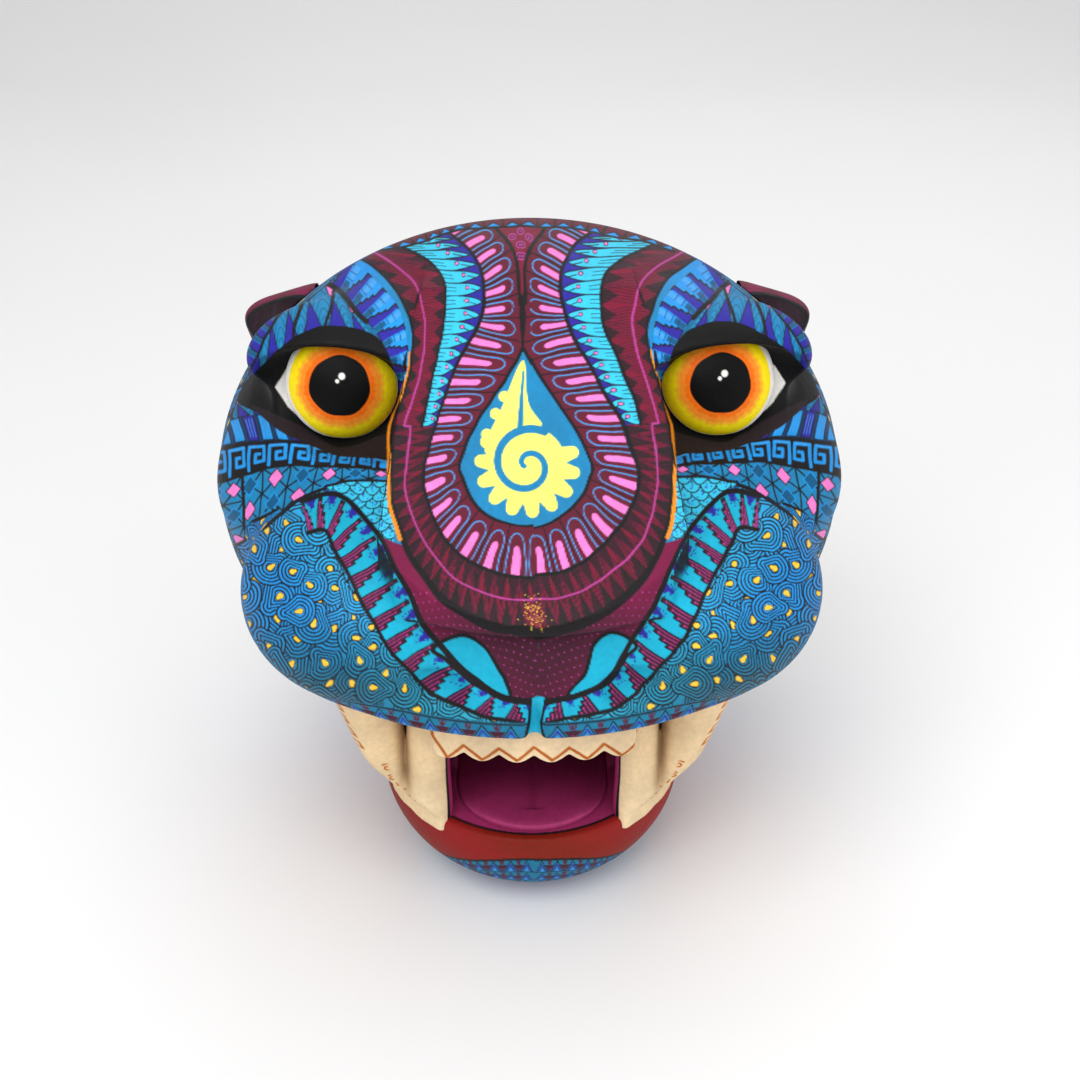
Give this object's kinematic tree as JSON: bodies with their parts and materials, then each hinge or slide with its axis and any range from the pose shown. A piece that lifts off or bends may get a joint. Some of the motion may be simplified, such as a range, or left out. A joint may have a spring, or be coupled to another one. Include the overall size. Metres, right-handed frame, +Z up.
{
  "type": "carved feline head wall mask",
  "caption": "Carved and painted wooden feline head with an open mouth, fangs and small ears, hollowed at the back and hung on a wall by a ring.",
  "frame": {"origin": "centre of the flat back face, on the middle plane", "axes": "+X to the viewer's right, +Y backwards into the wall, +Z up; the muzzle points along -Y"},
  "size_m": [0.286, 0.236, 0.273],
  "materials": {
    "painted_wood": "satin acrylic paint",
    "tongue_paint": "satin acrylic paint",
    "cream_wood": "matt acrylic paint",
    "eye_paint": "gloss acrylic paint",
    "ear_paint": "satin acrylic paint",
    "bare_wood": "bare",
    "steel": "zinc plated"
  },
  "bodies": {
    "head": {"head_shell": "painted_wood", "lower_jaw": "painted_wood", "tongue": "tongue_paint", "upper_incisors": "cream_wood", "upper_fang_left": "cream_wood", "upper_fang_right": "cream_wood", "lower_fang_left": "cream_wood", "lower_fang_right": "cream_wood", "cheek_teeth_left": "cream_wood", "cheek_teeth_right": "cream_wood", "eye_left": "eye_paint", "eye_right": "eye_paint", "jaw_dowels": "bare_wood", "hanger_strap": "steel", "hanger_screws": "steel"},
    "left_ear": {"ear_left": "ear_paint", "ear_peg_left": "bare_wood"},
    "right_ear": {"ear_right": "ear_paint", "ear_peg_right": "bare_wood"},
    "ring": {"hanger_ring": "steel"}
  },
  "joints": [
    {"name": "ear_left_pull", "type": "slide", "parent": "head", "child": "left_ear", "axis": [-0.9285, 0.0976, 0.3584], "range_m": [0, 0.04]},
    {"name": "ear_right_pull", "type": "slide", "parent": "head", "child": "right_ear", "axis": [0.9285, 0.0976, 0.3584], "range_m": [0, 0.04]},
    {"name": "hanger_ring_swing", "type": "hinge", "parent": "head", "child": "ring", "pos_m": [0, -0.003, 0.087], "axis": [1, 0, 0], "range_deg": [0, 150]}
  ]
}
